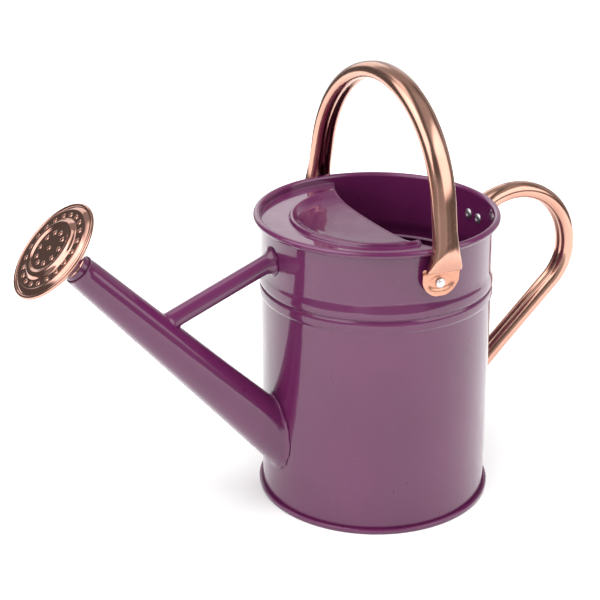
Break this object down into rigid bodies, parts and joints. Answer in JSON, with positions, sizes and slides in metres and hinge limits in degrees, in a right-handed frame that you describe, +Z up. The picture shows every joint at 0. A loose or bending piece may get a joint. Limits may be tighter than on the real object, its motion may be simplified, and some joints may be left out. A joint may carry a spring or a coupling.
{
  "type": "watering can",
  "caption": "Round enamelled watering can with half lid, braced slanted spout, screw-on rose, swinging bail and fixed back handle.",
  "frame": {"origin": "centre of the base ring, in the plane of the ground it stands on", "axes": "+Z up; -X towards the spout and rose, +X towards the fixed back handle; the bail pivots along Y"},
  "size_m": [0.4304, 0.1908, 0.3144],
  "materials": {
    "enamel": "glossy plum-purple enamel over sheet steel",
    "copper_finish": "satin-polished copper plate over pressed steel sheet",
    "rivet_metal": "plain bright aluminium rivet",
    "plain_steel": "plain zinc-plated steel",
    "black_rubber": "soft black rubber"
  },
  "bodies": {
    "can": {"body_shell": "enamel", "base_plate": "enamel", "rim_wire": "plain_steel", "top_cover": "enamel", "spout_tube": "enamel", "spout_brace": "enamel", "spout_neck": "enamel", "bail_pivot_rivets": "rivet_metal", "bail_spacer_washers": "plain_steel", "bail_backing_washers": "plain_steel", "back_handle": "copper_finish", "back_handle_upper_rivets": "rivet_metal", "back_handle_lower_rivets": "rivet_metal", "back_handle_seal_washers": "black_rubber"},
    "rose_carrier": {"rose_gasket": "black_rubber"},
    "rose": {"rose_socket": "copper_finish", "rose_back": "copper_finish", "rose_face": "copper_finish"},
    "bail": {"bail_handle": "copper_finish"}
  },
  "joints": [
    {"name": "bail_swing", "type": "hinge", "parent": "can", "child": "bail", "pos_m": [0, 0, 0.187], "axis": [0, 1, 0], "range_deg": [-86, 66]},
    {"name": "rose_advance", "type": "slide", "parent": "can", "child": "rose_carrier", "axis": [-0.7157, 0, 0.6984], "range_m": [0, 0.00876]},
    {"name": "rose_turn", "type": "hinge", "parent": "rose_carrier", "child": "rose", "pos_m": [-0.2187, 0, 0.2068], "axis": [-0.7157, 0, 0.6984], "range_deg": [0, 1260]}
  ],
  "couplings": [
    {"joint": "rose_advance", "follows": "rose_turn", "m_per_rad": 0.00039789}
  ]
}
